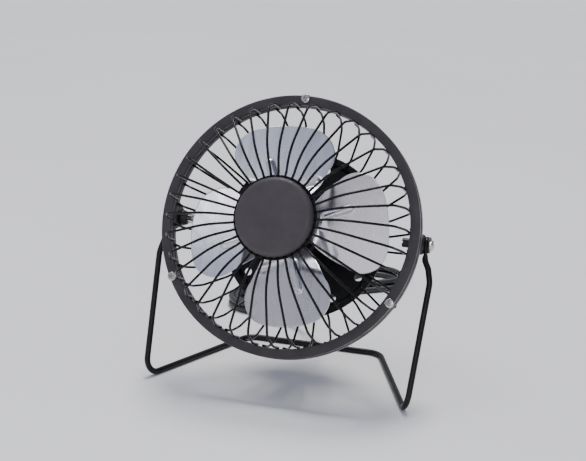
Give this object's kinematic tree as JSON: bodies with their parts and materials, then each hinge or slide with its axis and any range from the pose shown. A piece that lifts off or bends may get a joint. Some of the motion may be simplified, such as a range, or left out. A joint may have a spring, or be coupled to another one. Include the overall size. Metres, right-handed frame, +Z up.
{
  "type": "desk fan",
  "caption": "Small metal desk fan: a round wire cage with four aluminium blades, tilting on a bent rod stand, with a USB lead folded behind it.",
  "frame": {"origin": "on the ground, under the middle of the fan's outline without its lead", "axes": "+Z up; the fan faces -Y, tilted back; +X to the right as seen from the front, along the tilt axis"},
  "size_m": [0.1428, 0.2522, 0.1448],
  "materials": {
    "ring_paint": "satin powder coat",
    "wire_paint": "semi-gloss dip coat",
    "cap_paint": "matt",
    "pan_paint": "satin",
    "stand_paint": "semi-gloss",
    "nickel": "bright",
    "black_nylon": "satin",
    "zinc_steel": "satin",
    "ferrite": "matt",
    "white_nylon": "satin",
    "brass": "satin",
    "bronze": "matt",
    "black_plastic": "fine grain",
    "rocker_black": "gloss",
    "board_green": "gloss",
    "black_rubber": "matt",
    "lead_jacket": "satin",
    "core_red": "gloss",
    "blade_aluminium": "satin, brushed",
    "core_iron": "laminated",
    "copper": "enamelled",
    "tie_black": "matt",
    "gold": "bright"
  },
  "bodies": {
    "stand": {"stand_rod": "stand_paint", "usb_lead": "lead_jacket", "cable_hank": "lead_jacket", "cable_tie": "tie_black", "usb_lead_tail": "lead_jacket", "usb_plug_body": "lead_jacket", "usb_plug_shell": "nickel", "usb_plug_tongue": "white_nylon", "usb_plug_contacts": "gold"},
    "head": {"front_ring": "ring_paint", "rear_ring": "ring_paint", "front_wires": "wire_paint", "rear_wires": "wire_paint", "front_hub_plate": "wire_paint", "hub_cap": "cap_paint", "cap_rivet": "nickel", "ring_screws": "nickel", "ring_nuts": "nickel", "rear_plate": "pan_paint", "pivot_brackets": "pan_paint", "pivot_bosses": "black_nylon", "pivot_bushes": "black_nylon", "pivot_screws": "nickel", "pivot_nuts": "nickel", "pivot_washers": "black_nylon", "motor_cup": "pan_paint", "cup_screws": "nickel", "motor_screws": "nickel", "motor_can": "zinc_steel", "motor_magnets": "ferrite", "motor_end_cap": "white_nylon", "motor_brushes": "brass", "motor_terminals": "brass", "front_bearing": "bronze", "rear_bearing": "bronze", "rear_cover": "black_plastic", "cover_screws": "nickel", "control_board": "board_green", "switch_body": "black_plastic", "switch_terminals": "brass", "strain_relief": "black_rubber", "lead_inside": "lead_jacket", "inner_wires": "core_red"},
    "rotor": {"fan_blades": "blade_aluminium", "blade_hub": "brass", "blade_washer": "nickel", "motor_shaft": "zinc_steel", "rotor_core": "core_iron", "rotor_windings": "copper", "commutator": "copper"},
    "rocker": {"switch_rocker": "rocker_black"}
  },
  "joints": [
    {"name": "head_tilt", "type": "hinge", "parent": "stand", "child": "head", "pos_m": [0, 0.0051, 0.0767], "axis": [1, 0, 0], "range_deg": [-68, 112], "deforming": ["usb_lead"]},
    {"name": "fan_spin", "type": "hinge", "parent": "head", "child": "rotor", "pos_m": [0, -0.01048, 0.08299], "axis": [0, -0.9272, 0.3746], "continuous": true},
    {"name": "switch_rock", "type": "hinge", "parent": "head", "child": "rocker", "pos_m": [0, 0.0413, 0.07286], "axis": [1, 0, 0], "range_deg": [0, 16]}
  ]
}
